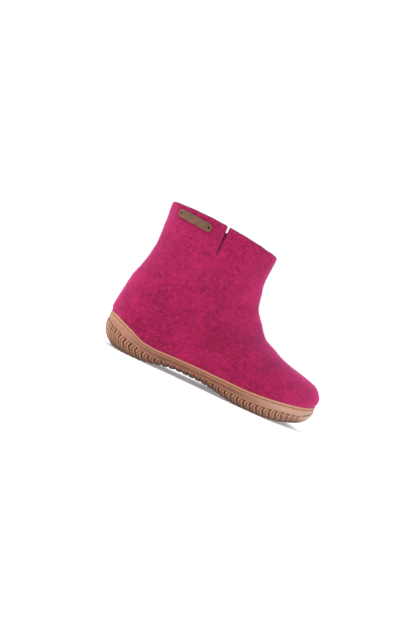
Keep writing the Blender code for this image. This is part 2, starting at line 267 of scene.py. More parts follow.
# %% Swell the felt and settle it on the lip
SWELL = 0.5
SWELL_FULL = 5.0 * MM         # the felt swells fully where it is this far from the rubber
COLLAR_STRETCH = (150, 165)   # up from the floor, in millimetres: the collar keeps its size
LIP_REACH = 0.9 * MM
LIP_GAP = 0.15 * MM
CUP_DEEP = 3.0 * MM           # felt farther from the rubber than this can't stand in the cup

sole_gap = distances(sole_tree, points)
swell = SWELL * (1 - smooth_step(sizes[:, 2], *COLLAR_STRETCH)) * ~inside
swell *= smooth_step(sole_gap, LIP_REACH, SWELL_FULL)
points += normals * swell[:, None] * MM
above_lip = np.ones(len(points), bool)
for index in np.flatnonzero(sole_gap < CUP_DEEP):
    rubber = sole_tree.find_nearest(points[index])[0]
    above_lip[index] = points[index][2] - rubber.z > sole_gap[index] / 2
on_lip = above_lip & (sole_gap < LIP_REACH)
points[on_lip, 2] -= sole_gap[on_lip] - LIP_GAP
write_points(upper, points)
print("settled on the lip:", np.count_nonzero(on_lip), "points")

# %% [markdown]
# ## Folds and flaps of the felt
# A last leaves felt smooth, but worn felt gives where the foot bends: a soft trough over the vamp,
# two kinks up the instep with ridges between them, and a shallow one behind the ankle. Each is
# placed in the shoe's own sizes, in millimetres from the heel and from the floor, as a line
# on the side view that fades out down the side. At the slit the rear flap stands a little proud and
# the front one lies behind it.

# %% Press in the folds
Fold = namedtuple("Fold", "along up to_along to_up width depth")    # ridges have negative depth
FOLDS = [
    Fold(199, 61, 174, 42, 5.0, 1.3),
    Fold(188, 69, 166, 51, 6.0, -0.5),
    Fold(177, 80, 148, 60, 6.0, 1.1),
    Fold(166, 93, 138, 75, 7.0, -0.6),
    Fold(155, 107, 122, 92, 7.0, 1.2),
    Fold(149, 127, 124, 115, 9.0, -0.5),
    Fold(12, 101, 44, 93, 9.0, 0.7),
    Fold(6, 83, 38, 75, 9.0, -0.4),
]
FULL_DEPTH = 0.2              # share of its length over which a fold keeps its depth


def fold_depth(fold, sizes):
    """How deep a fold presses each point: deepest at its start, gone at its end."""
    side_view = sizes[:, [0, 2]]
    start = np.array((fold.along, fold.up))
    run = np.array((fold.to_along, fold.to_up)) - start
    share = np.clip((side_view - start) @ run / (run @ run), 0, 1)
    away = np.linalg.norm(side_view - start - share[:, None] * run, axis=1)
    return fold.depth * np.exp(-(away / fold.width) ** 2) * (1 - smooth_step(share, FULL_DEPTH, 1))


sizes = shoe_sizes(read_vectors(upper, "co"))
depths = sum(fold_depth(fold, sizes) for fold in FOLDS)
write_points(upper, read_vectors(upper, "co") - read_vectors(upper, "normal") * depths[:, None] * MM)
print("folds press the felt in by up to", round(depths.max(), 2), "mm")

# %% Part the flaps at the slit
SLIT_ALONG = 83.9
SLIT_FOOT = 138.5
FLAP_REACH = 15.0
FLAP_RISE = 30.0              # the flaps part more and more over this height
REAR_FLAP_OUT = 0.9
FRONT_FLAP_IN = 0.8

points = read_vectors(upper, "co")
sizes = shoe_sizes(points)
from_slit = sizes[:, 0] - SLIT_ALONG
near_slit = 1 - smooth_step(np.abs(from_slit), 0, FLAP_REACH)
near_slit *= smooth_step(sizes[:, 2], SLIT_FOOT, SLIT_FOOT + FLAP_RISE) * (sizes[:, 1] < 0)
points[:, 1] += np.where(from_slit < 0, -REAR_FLAP_OUT, FRONT_FLAP_IN) * near_slit * MM
write_points(upper, points)
print("flaps moved:", np.count_nonzero(near_slit), "points")

# %% [markdown]
# ## Uneven wool
# Felt is never quite even: the wool lies thicker in some places. A Displace modifier with a cloud
# texture moves the surface by a few tenths of a millimetre. A vertex group holds it still where
# the felt stands in the cup and under the tag. Marks for the material then tell it where the felt
# was cut, and where it gets painted shade and painted light: shade on the cut edges, along the
# collar's rim, on the inner face, in the folds and in dark spots, and light in pale spots.

# %% Lump the felt
LUMP_SIZE = 14 * MM
LUMP_HEIGHT = 1.1 * MM
SOLE_CLEAR = (1 * MM, 6 * MM)      # the lumps grow from none to full between these distances
TAG_CLEAR = (1 * MM, 5 * MM)

tag_tree = solid_tree("collar_tag")
points = read_vectors(upper, "co")
free = smooth_step(distances(sole_tree, points), *SOLE_CLEAR)
free *= smooth_step(distances(tag_tree, points), *TAG_CLEAR)
lumps = bpy.data.textures.new("wool_lumps", "CLOUDS")
lumps.noise_scale = LUMP_SIZE
group = upper.vertex_groups.new(name="free_felt")
for index, weight in enumerate(free):
    group.add([index], weight, "REPLACE")
apply_modifier(upper, "DISPLACE", texture=lumps, texture_coords="LOCAL", strength=LUMP_HEIGHT,
               mid_level=0.5, vertex_group=group.name)
print("points free to lump:", np.count_nonzero(free > 0.5))

# %% Mark the cut edges
COLLAR_START = 160.0          # up from the floor, in millimetres
COLLAR_FACING = 0.45          # the cut's normals point up at least this much
SLIT_REACH = 3.0
SLIT_FACING = 0.5
RIM_REACH = 4.0 * MM          # the painted shade along the collar's rim fades out over this distance

points = read_vectors(upper, "co")
normals = read_vectors(upper, "normal")
sizes = shoe_sizes(points)
at_collar = (normals[:, 2] > COLLAR_FACING) & (sizes[:, 2] > COLLAR_START)
at_slit = (np.abs(sizes[:, 0] - SLIT_ALONG) < SLIT_REACH) & (np.abs(normals[:, 0]) > SLIT_FACING)
at_slit &= (sizes[:, 2] > SLIT_FOOT) & (sizes[:, 1] < 0)
rim_tree = KDTree(np.count_nonzero(at_collar))
for index in np.flatnonzero(at_collar):
    rim_tree.insert(points[index], index)
rim_tree.balance()
from_rim = np.array([rim_tree.find(point)[2] for point in points])
# painted shade: a dark line along the collar's rim
write_attribute(upper, "rim", np.clip(1 - from_rim / RIM_REACH, 0, 1))
# painted shade on the cut edges and in the slit, partly the cut felt's own darker tone
write_attribute(upper, "cut_edge", at_collar | at_slit)
# the inside mark steers painted shade on the felt's inner face
write_attribute(upper, "inside", inside)
print("cut edges:", np.count_nonzero(at_collar | at_slit), "points")

# %% Mark painted shade in the folds, and painted shade and light in spots
FOLD_SHADE = 0.5
Spot = namedtuple("Spot", "along up reach strength")       # spots of painted light have negative strength, spots of painted shade positive
SHADE_AND_LIGHT_SPOTS = [
    Spot(159, 80, 14, 0.25),
    Spot(141, 71, 16, 0.35),
    Spot(118, 60, 18, 0.4),
    Spot(172, 56, 26, 0.3),
    Spot(242, 48, 10, 0.2),
    Spot(215, 57, 12, 0.3),
    Spot(226, 24, 18, -0.3),
    Spot(258, 42, 12, -0.45),
    Spot(95, 55, 22, 0.1),
    Spot(72, 116, 18, -0.2),
    Spot(62, 158, 20, -0.12),
    Spot(132, 126, 24, -0.17),
    Spot(150, 104, 16, -0.4),
]

# painted shade in the folds and the dark spots, and, as negative values, painted light in the pale
# spots
dark = FOLD_SHADE * np.clip(depths, 0, 1)
for spot in SHADE_AND_LIGHT_SPOTS:
    away = np.hypot(sizes[:, 0] - spot.along, sizes[:, 2] - spot.up)
    dark += spot.strength * np.exp(-(away / spot.reach) ** 2)
# fold carries the painted shade, pale the painted light
write_attribute(upper, "fold", np.clip(dark, 0, 1))
write_attribute(upper, "pale", np.clip(-dark, 0, 1))
print("dark up to", round(dark.max(), 2), "and pale down to", round(dark.min(), 2))

# %% [markdown]
# ## Wool felt
# Felted wool is matted fibre with no weave. The dye takes unevenly, which shows as wide drifts and
# as patches a few millimetres wide, and strands of combed wool lie through them, paler than the
# rest. Three noises at those sizes mix the dye colours and give the bump. The strands are one noise
# that is stretched along the shoe. Loose fibre ends scatter light towards the rim: that is sheen,
# a little more purple than the dye. The marks made above are laid over the dye one after another:
# they paint shade into the folds, the dark spots, the inner face, the collar's rim and the cut
# edges, and paint light into the pale spots.

# %% Lay tints over a colour
Tint = namedtuple("Tint", "share strength shade")      # share is an output that runs from 0 to 1


def lay_tints(material, shown, tints):
    """The colour output that is left when each tint covers its share of what lies below it."""
    for tint in tints:
        part = add_node(material, "Math", {"operation": "MULTIPLY", 1: tint.strength}, {0: tint.share})
        mixed = add_node(material, "Mix", {"data_type": "RGBA", MIX_B: colour(tint.shade)},
                         {MIX_FACTOR: part.outputs["Value"], MIX_A: shown})
        shown = mixed.outputs[MIX_RESULT]
    return shown


def read_marks(material, names):
    """Outputs that read a piece's marks. A mark that the piece doesn't have reads as none."""
    return {name: add_node(material, "Attribute", {"attribute_name": name}).outputs["Fac"]
            for name in names}


# %% Felt material
DRIFT = 24 * MM
PATCH = 5 * MM
STRAND = (3.6 * MM, 3.6 * MM, 1.3 * MM)        # along, across and up
# cut and inside hold painted shade: cut for the cut edges and the collar's rim, partly their own darker
# tone, inside for the inner face; dark also serves as painted shade in folds and spots
FeltDyeAndShade = namedtuple("FeltDyeAndShade", "dark light strand cut inside sheen sheen_weight")


def felt_material(name, dye_and_shade):
    """Matted wool: unevenly dyed, with soft flecks, painted shade and light, a fibrous surface and a
    sheen of loose ends.
    """
    material = new_material(name)
    place = add_node(material, "TexCoord", {}).outputs["Object"]
    combed = add_node(material, "Mapping", {"Scale": [1 / size for size in STRAND]}, {"Vector": place})
    drifts = add_node(material, "TexNoise", {"Scale": 1 / DRIFT, "Detail": 2}, {"Vector": place})
    patches = add_node(material, "TexNoise", {"Scale": 1 / PATCH, "Detail": 4, "Roughness": 0.7},
                       {"Vector": place})
    strands = add_node(material, "TexNoise", {"Scale": 1, "Detail": 3, "Roughness": 0.65,
                                              "Distortion": 1.5},
                       {"Vector": combed.outputs["Vector"]})
    matted = add_node(material, "Math", {"operation": "MULTIPLY_ADD", 1: 0.7},
                      {0: strands.outputs["Fac"], 2: patches.outputs["Fac"]})
    mottle = add_node(material, "Math", {"operation": "MULTIPLY_ADD", 1: 0.6},
                      {0: drifts.outputs["Fac"], 2: matted.outputs["Value"]})
    share = add_node(material, "MapRange", {"From Min": 0.85, "From Max": 1.45},
                     {"Value": mottle.outputs["Value"]})
    dyed = add_node(material, "Mix", {"data_type": "RGBA", MIX_A: colour(dye_and_shade.dark),
                                      MIX_B: colour(dye_and_shade.light)},
                    {MIX_FACTOR: share.outputs["Result"]})
    pale = add_node(material, "MapRange", {"From Min": 0.5, "From Max": 0.75},
                    {"Value": strands.outputs["Fac"]})
    marks = read_marks(material, ("fold", "pale", "inside", "rim", "cut_edge"))
    rim = add_node(material, "MapRange", {"From Min": 0.58, "From Max": 0.88}, {"Value": marks["rim"]})
    # over the dye: paler strands, then painted shade from the folds and dark spots, painted light from
    # the pale spots, and painted shade on the inner face, along the collar's rim and on the cut edges
    shown = lay_tints(material, dyed.outputs[MIX_RESULT], [
        Tint(pale.outputs["Result"], 0.65, dye_and_shade.strand), Tint(marks["fold"], 0.8, dye_and_shade.dark),
        Tint(marks["pale"], 0.8, dye_and_shade.strand), Tint(marks["inside"], 1.0, dye_and_shade.inside),
        Tint(rim.outputs["Result"], 0.8, dye_and_shade.cut), Tint(marks["cut_edge"], 1.0, dye_and_shade.cut)])
    bump = add_node(material, "Bump", {"Strength": 0.6, "Distance": 0.5 * MM},
                    {"Height": matted.outputs["Value"]})
    surface = add_node(material, "BsdfPrincipled", {
        "Roughness": 0.95, "Specular IOR Level": 0.15, "Sheen Weight": dye_and_shade.sheen_weight,
        "Sheen Roughness": 0.55, "Sheen Tint": colour(dye_and_shade.sheen),
    }, {"Base Color": shown, "Normal": bump.outputs["Normal"]})
    add_node(material, "OutputMaterial", {}, {"Surface": surface.outputs["BSDF"]})
    return material


MAGENTA = FeltDyeAndShade("#660629", "#9C1646", "#C42C68", "#400414", "#4C0418", "#FC6ABC", 0.6)
finish_piece(upper, felt_material("felted_wool_magenta", MAGENTA), "felt", "upper")

# %% [markdown]
# ## Loose fibre ends
# What tells felt from moulded plastic is its soft outline: fibre ends stand off the surface by
# about a millimetre. Particles would be lost in an export, so the ends are real: thin closed
# spikes, sown over the outside with a fixed seed and leaning every way. They are all one mesh,
# because tens of thousands of separate copies would be far too slow.

# %% Find the outside of the felt
SOLE_FREE = 1.3 * MM          # no fibre grows nearer to the rubber or to the tag than these
TAG_FREE = 0.9 * MM

upper.data.calc_loop_triangles()
corners = np.array([triangle.vertices[:] for triangle in upper.data.loop_triangles])
points = read_vectors(upper, "co")
normals = read_vectors(upper, "normal")
centres = points[corners].mean(axis=1)
clear = (distances(sole_tree, centres) > SOLE_FREE) & (distances(tag_tree, centres) > TAG_FREE)
chosen = corners[clear & ~inside[corners].any(axis=1)]
print("outside:", len(chosen), "of", len(corners), "triangles")

# %% Sow the fibre ends
FIBRES = 44000
FIBRE_LENGTH = (0.5, 2.0)
FIBRE_RISE = (0.1, 0.8)       # how steeply a fibre stands, for its lean
FIBRE_LEAN = 0.8
SEED = 11

chance = np.random.default_rng(SEED)
edges_a = points[chosen[:, 1]] - points[chosen[:, 0]]
edges_b = points[chosen[:, 2]] - points[chosen[:, 0]]
areas = np.linalg.norm(np.cross(edges_a, edges_b), axis=1) / 2
picks = chance.choice(len(chosen), FIBRES, p=areas / areas.sum())
spread = chance.random((FIBRES, 2))
spread = np.where(spread.sum(axis=1, keepdims=True) > 1, 1 - spread, spread)
roots = points[chosen[picks, 0]] + edges_a[picks] * spread[:, :1] + edges_b[picks] * spread[:, 1:]
out = normals[chosen[picks]].mean(axis=1)
lean = chance.normal(size=(FIBRES, 3))
lean -= (lean * out).sum(axis=1, keepdims=True) * out
lean /= np.linalg.norm(lean, axis=1, keepdims=True)
rise = chance.uniform(*FIBRE_RISE, (FIBRES, 1))
length = chance.uniform(*FIBRE_LENGTH, (FIBRES, 1))
tips = roots + (out * rise + lean * FIBRE_LEAN) * length * MM
print("sown:", FIBRES, "fibre ends")

# %% Build the spikes
HALF_WIDTH = 0.065 * MM
ROOT_DEPTH = 0.1 * MM

across = np.cross(out, lean)
sunk = roots - out * ROOT_DEPTH
left_foot = sunk + across * HALF_WIDTH - lean * HALF_WIDTH
right_foot = sunk - across * HALF_WIDTH - lean * HALF_WIDTH
fibre_points = np.stack([sunk + lean * HALF_WIDTH, left_foot, right_foot, tips], axis=1)
spike = np.array([(0, 2, 1), (0, 1, 3), (1, 2, 3), (2, 0, 3)])
first = np.arange(FIBRES)[:, None, None] * 4
fibre_faces = (first + spike).reshape(-1, 3)
fibre_mesh = bpy.data.meshes.new("felt_fibre_ends")
fibre_mesh.from_pydata(fibre_points.reshape(-1, 3).tolist(), [], fibre_faces.tolist())
fibres = bpy.data.objects.new("felt_fibre_ends", fibre_mesh)
bpy.context.scene.collection.objects.link(fibres)
LOOSE_ENDS = FeltDyeAndShade("#8E1A54", "#B02C72", "#C84C96", "#A52366", "#A52366", "#FA98DA", 0.4)
finish_piece(fibres, felt_material("loose_wool_fibre", LOOSE_ENDS), "felt")

# %% [markdown]
# ## The rubber sole
# The sole is moulded in one piece: a thin lip, a fine groove below it, a plain band, and ribs that
# zigzag down the side and carry on under the foot. On the real sole each rib is parted again by a
# fine line in its upper half. To find where that line runs, the corners of each rib are marked by
# whether they lean to the heel or to the toe: the line lies where the mark changes its sign.
# Subdivision Surface carries the marks on to the points that it adds, and those on the line are
# then pressed in.

# %% Measure how far the rubber lies below the felt
CUP_GAP = 1.2 * MM            # rubber nearer to the felt than this belongs to the inside of the cup
LIP_FRONT = 5.0               # millimetres below the felt that show the plain front of the lip
RIBS_START = 8.5              # millimetres below the felt where the ribs begin
BOTTOM_FACING = -0.6          # faces that point down more than this belong to the felt's lower edge
WALL_FACING = 0.5             # normals on a wall point up or down less than this

sole = copy_solid("outsole", "outsole_rubber")
over_lip = ~inside & above_lip
felt_faces = [face.vertices[:] for face in upper.data.polygons
              if face.normal.z > BOTTOM_FACING and over_lip[list(face.vertices)].all()]
felt_tree = BVHTree.FromPolygons(read_vectors(upper, "co").tolist(), felt_faces)
sole_points = read_vectors(sole, "co")
normals = read_vectors(sole, "normal")
beside_felt = distances(solid_tree("upper"), sole_points) < CUP_GAP
below_felt = distances(felt_tree, sole_points) / MM
on_wall = np.abs(normals[:, 2]) < WALL_FACING
front = np.flatnonzero(~beside_felt & (below_felt < LIP_FRONT) & on_wall)
print("points on the lip's front:", len(front), "beside the felt:", np.count_nonzero(beside_felt))

# %% Mark the corners of the ribs
CORNER_LEAN = 0.15            # how far a corner's normal leans along the side
CORNERS_START = RIBS_START - 1
NEIGHBOURS = 4                # points of the lip that give the direction outwards
SIDE_FACING = (-0.6, -0.15)   # the lines fade out between these normals, as a rib turns under

front_tree = KDTree(len(front))
for index in front:
    front_tree.insert((*sole_points[index, :2], 0), index)
front_tree.balance()
nearest = [[found[1] for found in front_tree.find_n((*point[:2], 0), NEIGHBOURS)]
           for point in sole_points]
outward = normals[nearest].mean(axis=1)[:, :2]
outward /= np.linalg.norm(outward, axis=1, keepdims=True)
sideways = normals[:, 1] * outward[:, 0] - normals[:, 0] * outward[:, 1]
corner = (np.abs(sideways) > CORNER_LEAN) & (below_felt > CORNERS_START)
write_attribute(sole, "rib_side", np.where(corner, np.sign(sideways), 0))
write_attribute(sole, "rib", corner * smooth_step(normals[:, 2], *SIDE_FACING))
print("rib corners:", np.count_nonzero(corner), "of", len(corner), "points")

# %% Round the rubber
LINE_LENGTH = 5.5 * MM        # edges along the lip and the groove are longer than those of the ribs
LINE_ANGLE = radians(25)
LINE_CREASE = 0.45
RIB_ANGLE = radians(28)
RIB_CREASE = 0.34
UNDER_FACING = -0.3           # faces that point down more than this are under the sole


def rubber_crease(near, far, angle, normals):
    length = np.linalg.norm(sole_points[near] - sole_points[far])
    under = max(normals[0].z, normals[-1].z) < UNDER_FACING
    if beside_felt[near] and beside_felt[far]:
        return 1.0
    if length > LINE_LENGTH and angle > LINE_ANGLE and not under:
        return LINE_CREASE
    return RIB_CREASE if angle > RIB_ANGLE else 0.0


crease_edges(sole, rubber_crease)
apply_modifier(sole, "SUBSURF", levels=2, render_levels=2)

# %% Measure hollows and edges
HOLLOW_STEPS = 8
HOLLOW_FULL = 0.14 * MM
EDGE_START = 0.04 * MM


def hollowness(piece, steps):
    """How far each point lies below its smoothed surroundings: negative on edges."""
    pairs = np.empty(2 * len(piece.data.edges), int)
    piece.data.edges.foreach_get("vertices", pairs)
    pairs = pairs.reshape(-1, 2)
    points = read_vectors(piece, "co")
    count = np.bincount(pairs.ravel(), minlength=len(points))[:, None]
    smooth = points.copy()
    for _ in range(steps):
        total = np.zeros_like(smooth)
        np.add.at(total, pairs[:, 0], smooth[pairs[:, 1]])
        np.add.at(total, pairs[:, 1], smooth[pairs[:, 0]])
        smooth = (smooth + total / count) / 2
    return ((smooth - points) * read_vectors(piece, "normal")).sum(axis=1)


hollow = hollowness(sole, HOLLOW_STEPS)
# painted highlights on the edges, which partly stand for bleaching
edge = np.clip((-hollow - EDGE_START) / HOLLOW_FULL, 0, 1)
# painted shade in the hollows
write_attribute(sole, "hollow", np.clip(hollow / HOLLOW_FULL, 0, 1))
print("hollows reach", round(hollow.max() / MM, 2), "mm, edges", round(-hollow.min() / MM, 2), "mm")

# %% Mark ribs, ends and underside
RIBS_FULL = RIBS_START + 2
RibShade = namedtuple("RibShade", "along dark pale_edge")
RIB_SHADES = [                # the ribs get the most painted shade under the arch, and there their edges the least painted highlight
    RibShade(2, 0.0, 1.0),
    RibShade(14, 0.76, 1.0),
    RibShade(55, 0.8, 1.0),
    RibShade(85, 1.0, 0.5),
    RibShade(130, 1.0, 0.5),
    RibShade(155, 0.8, 1.0),
    RibShade(190, 0.72, 1.0),
    RibShade(235, 0.32, 1.0),
    RibShade(248, 0.0, 1.0),
]
HEEL_PALE = (20, 80)
TOE_PALE = (155, 230)
UNDERSIDE = (0.18, 0.88)      # how far down normals point where the painted shade of the underside begins and is full

sole_points = read_vectors(sole, "co")
sole_along = shoe_sizes(sole_points)[:, 0]
below_felt = distances(felt_tree, sole_points) / MM
# painted shade on the ribs, strongest under the arch
ribbed = smooth_step(below_felt, RIBS_START, RIBS_FULL)
table_along, table_dark, table_edge = zip(*RIB_SHADES)
edge *= 1 - ribbed * (1 - np.interp(sole_along, table_along, table_edge))
ribbed *= np.interp(sole_along, table_along, table_dark)
# painted shade on faces that point down
write_attribute(sole, "underside", smooth_step(-read_vectors(sole, "normal")[:, 2], *UNDERSIDE))
write_attribute(sole, "heel", 1 - smooth_step(sole_along, *HEEL_PALE))
write_attribute(sole, "toe", smooth_step(sole_along, *TOE_PALE))
write_attribute(sole, "below_felt", below_felt)
write_attribute(sole, "ribbed", ribbed)
write_attribute(sole, "edge", edge)
print("ribbed:", np.count_nonzero(ribbed > 0.5), "of", len(ribbed), "points")

# %% Press in the fine lines of the ribs
RIB_LINE = 0.25               # half width of a rib's fine line, as a share of half the rib
LINE_DEPTH = 0.4 * MM


def read_attribute(piece, name):
    values = np.empty(len(piece.data.vertices), np.float32)
    piece.data.attributes[name].data.foreach_get("value", values)
    return values


on_line = 1 - smooth_step(np.abs(read_attribute(sole, "rib_side")), RIB_LINE / 2, RIB_LINE)
on_line *= read_attribute(sole, "rib")
write_points(sole, sole_points - read_vectors(sole, "normal") * on_line[:, None] * LINE_DEPTH)
print("points in the fine lines:", np.count_nonzero(on_line > 0.5))

# %% [markdown]
# ## Gum rubber
# Natural gum rubber is a warm, cloudy tan with a satin skin from the mould. It is paler at both
# ends. Painted highlights lie on its edges, where they partly stand for bleaching, and on the lip,
# and painted shade lies on the ribs, under the sole and in the hollows. Attributes measured from
# the shape steer that. The distance below the felt also draws the faint lines that run along the
# band. The ribs' fine lines are sharper than the mesh can press them, so the material cuts them
# again with a bump and paints shade into them. Fine noise roughens the skin.

# %% Rubber tints
LINES_A_MM = 0.9
LIP_DEEP = 2.2                # millimetres below the felt where the lip's painted highlight begins to fade
LIP_FADE = 0.5
RUBBER_MARKS = ("below_felt", "rib", "rib_side", "ribbed", "heel", "toe", "edge", "underside", "hollow")


def rib_line(material, marks):
    """Output that is 1 on a rib's fine line."""
    from_middle = add_node(material, "Math", {"operation": "ABSOLUTE"}, {0: marks["rib_side"]})
    middle = add_node(material, "MapRange", {"From Min": RIB_LINE / 2, "From Max": RIB_LINE,
                                             "To Min": 1.0, "To Max": 0.0},
                      {"Value": from_middle.outputs["Value"]})
    line = add_node(material, "Math", {"operation": "MULTIPLY"},
                    {0: middle.outputs["Result"], 1: marks["rib"]})
    return line.outputs["Value"]


def rubber_tints(material, marks, lines, line):
    """What lies over the plain rubber, from its paler ends to the painted shade in its hollows."""
    lip_highlight = add_node(material, "MapRange", {"From Min": LIP_DEEP, "From Max": LIP_DEEP + LIP_FADE,
                                          "To Min": 1.0, "To Max": 0.0},
                   {"Value": marks["below_felt"]})
    band_line = add_node(material, "MapRange", {"From Min": 0.4, "From Max": 0.65}, {"Value": lines})
    # paler heel and toe ends, painted shade on the ribs, moulded lines on the band, painted highlights
    # on the lip and the edges, and painted shade in the ribs' fine lines, under the sole and in the
    # hollows
    return [
        Tint(marks["heel"], 0.9, "#976E5D"),
        Tint(marks["toe"], 0.9, "#BB998A"),
        Tint(marks["ribbed"], 0.95, "#461D0F"),
        Tint(band_line.outputs["Result"], 0.3, "#4C2C1E"),
        Tint(lip_highlight.outputs["Result"], 0.75, "#B57A60"),
        Tint(marks["edge"], 0.74, "#B88062"),
        Tint(line, 0.8, "#2E1810"),
        Tint(marks["underside"], 0.8, "#3A2016"),
        Tint(marks["hollow"], 0.9, "#1E0E08"),
    ]


# %% Rubber material
CLOUD = 9 * MM
GRIT = 0.7 * MM


def rubber_material():
    """Moulded gum rubber: cloudy tan, painted shade in the hollows, painted highlights on the edges,
    satin.
    """
    material = new_material("gum_rubber_moulded")
    place = add_node(material, "TexCoord", {}).outputs["Object"]
    marks = read_marks(material, RUBBER_MARKS)
    clouds = add_node(material, "TexNoise", {"Scale": 1 / CLOUD, "Detail": 3, "Roughness": 0.6},
                      {"Vector": place})
    grit = add_node(material, "TexNoise", {"Scale": 1 / GRIT, "Detail": 2, "Roughness": 0.6},
                    {"Vector": place}).outputs["Fac"]
    lines = add_node(material, "TexNoise", {"noise_dimensions": "1D", "Scale": LINES_A_MM, "Detail": 2},
                     {"W": marks["below_felt"]}).outputs["Fac"]
    uneven = add_node(material, "Math", {"operation": "ADD"}, {0: clouds.outputs["Fac"], 1: lines})
    cloudy = add_node(material, "MapRange", {"From Min": 0.7, "From Max": 1.3},
                      {"Value": uneven.outputs["Value"]})
    plain = add_node(material, "Mix", {"data_type": "RGBA", MIX_A: colour("#633726"),
                                       MIX_B: colour("#7C4A34")},
                     {MIX_FACTOR: cloudy.outputs["Result"]})
    line = rib_line(material, marks)
    shown = lay_tints(material, plain.outputs[MIX_RESULT], rubber_tints(material, marks, lines, line))
    rough = add_node(material, "MapRange", {"To Min": 0.45, "To Max": 0.65}, {"Value": grit})
    bump = add_node(material, "Bump", {"Strength": 0.25, "Distance": 0.2 * MM}, {"Height": grit})
    cut = add_node(material, "Bump", {"Strength": 0.8, "Distance": 0.6 * MM, "invert": True},
                   {"Height": line, "Normal": bump.outputs["Normal"]})
    surface = add_node(material, "BsdfPrincipled", {"IOR": 1.52, "Specular IOR Level": 0.35}, {
        "Base Color": shown, "Roughness": rough.outputs["Result"], "Normal": cut.outputs["Normal"]})
    add_node(material, "OutputMaterial", {}, {"Surface": surface.outputs["BSDF"]})
    return material


finish_piece(sole, rubber_material(), "sole_rubber", "outsole")

# %% [markdown]
# ## The insole
# The footbed is a loose sheet of undyed felt. It shows only from above, inside the shaft. Its edge
# is rounded by Subdivision Surface, and a shallow dish under heel and ball shows that it is worn.

# %% Round the insole
INSOLE_ANGLE = radians(35)

insole = copy_solid("insole", "insole_felt")


def insole_crease(near, far, angle, normals):
    return CUT_CREASE if angle > INSOLE_ANGLE else 0.0


crease_edges(insole, insole_crease)
apply_modifier(insole, "SUBSURF", levels=2, render_levels=2)

# %% Dish the insole
TOP_FACING = 0.5
Dish = namedtuple("Dish", "along across reach depth")
DISHES = [Dish(48, 0, 24, 0.8), Dish(182, 2, 34, 0.7)]

points = read_vectors(insole, "co")
sizes = shoe_sizes(points)
top_side = read_vectors(insole, "normal")[:, 2] > TOP_FACING
dish_depth = np.zeros(len(points))
for dish in DISHES:
    away = np.hypot(sizes[:, 0] - dish.along, sizes[:, 1] - dish.across)
    dish_depth += dish.depth * np.exp(-(away / dish.reach) ** 2) * top_side
points[:, 2] -= dish_depth * MM
write_points(insole, points)
# the material darkens the dish by its depth through the fold mark
write_attribute(insole, "fold", dish_depth)
print("the insole is worn by up to", round(dish_depth.max(), 2), "mm")
UNDYED = FeltDyeAndShade("#9C9287", "#BFB6A9", "#CFC7BB", "#9C9287", "#9C9287", "#EDE6DC", 0.25)
finish_piece(insole, felt_material("felted_wool_undyed", UNDYED), "insole_felt", "insole")

# %% [markdown]
# ## The leather tag
# The tag is a strip of tanned leather with clipped corners and a hole at each end. A Bevel rounds
# its cut edges. Its front end has curled off the felt a little, which shows as a small shadow
# beside it.

# %% Soften and curl the tag
TAG_EDGE = 0.3 * MM
TAG_ANGLE = radians(50)       # edges sharper than this are rounded
SMOOTH_ANGLE = radians(35)    # and those flatter than this are shaded smooth
CURL_START = 52.0             # along from the heel, in millimetres
CURL_END = 68.0
CURL = 1.1

tag = copy_solid("collar_tag", "collar_tag_leather")
apply_modifier(tag, "BEVEL", width=TAG_EDGE, segments=2, limit_method="ANGLE", angle_limit=TAG_ANGLE)
points = read_vectors(tag, "co")
sizes = shoe_sizes(points)
points[:, 1] -= CURL * smooth_step(sizes[:, 0], CURL_START, CURL_END) * MM
write_points(tag, points)
bpy.ops.object.select_all(action="DESELECT")
tag.select_set(True)
bpy.context.view_layer.objects.active = tag
bpy.ops.object.shade_smooth_by_angle(angle=SMOOTH_ANGLE)
print("the tag's front end stands off by", CURL, "mm")

# %% Leather material
GRAIN = 0.9 * MM
STAIN = 6 * MM


def leather_material():
    """Tanned leather: pebbled grain, uneven stain, a dry satin face."""
    material = new_material("tanned_leather_smooth")
    place = add_node(material, "TexCoord", {}).outputs["Object"]
    stain = add_node(material, "TexNoise", {"Scale": 1 / STAIN, "Detail": 5, "Roughness": 0.7},
                     {"Vector": place})
    grain = add_node(material, "TexVoronoi", {"Scale": 1 / GRAIN, "feature": "DISTANCE_TO_EDGE"},
                     {"Vector": place}).outputs["Distance"]
    mottle = add_node(material, "MapRange", {"From Min": 0.3, "From Max": 0.7},
                      {"Value": stain.outputs["Fac"]})
    tanned = add_node(material, "Mix", {"data_type": "RGBA", MIX_A: colour("#553727"),
                                        MIX_B: colour("#7E5843")},
                      {MIX_FACTOR: mottle.outputs["Result"]})
    pebble = add_node(material, "MapRange", {"From Max": 0.25, "To Min": 1.0, "To Max": 0.0},
                      {"Value": grain})
    shown = lay_tints(material, tanned.outputs[MIX_RESULT],
                      [Tint(pebble.outputs["Result"], 0.45, "#3A261C")])
    bump = add_node(material, "Bump", {"Strength": 0.4, "Distance": 0.2 * MM}, {"Height": grain})
    surface = add_node(material, "BsdfPrincipled", {"Roughness": 0.6, "IOR": 1.5,
                                                    "Specular IOR Level": 0.35},
                       {"Base Color": shown, "Normal": bump.outputs["Normal"]})
    add_node(material, "OutputMaterial", {}, {"Surface": surface.outputs["BSDF"]})
    return material


finish_piece(tag, leather_material(), "tag_leather", "collar_tag")

# %% [markdown]
# ## The stitches of the tag
# A dark waxed thread holds the tag at its two holes. Each stitch ends in a knot that fills its
# hole. A ball is flattened, and every second ring of its faces is raised as a turn of the thread.
# The knot is modelled once and then copied to the other hole.

# %% Model one knot
KNOT_SIZE = 1.1 * MM          # radius
KNOT_FLAT = 0.7               # its depth as a share of its width
TURN_RISE = 0.12 * MM         # how far each turn of the thread stands out

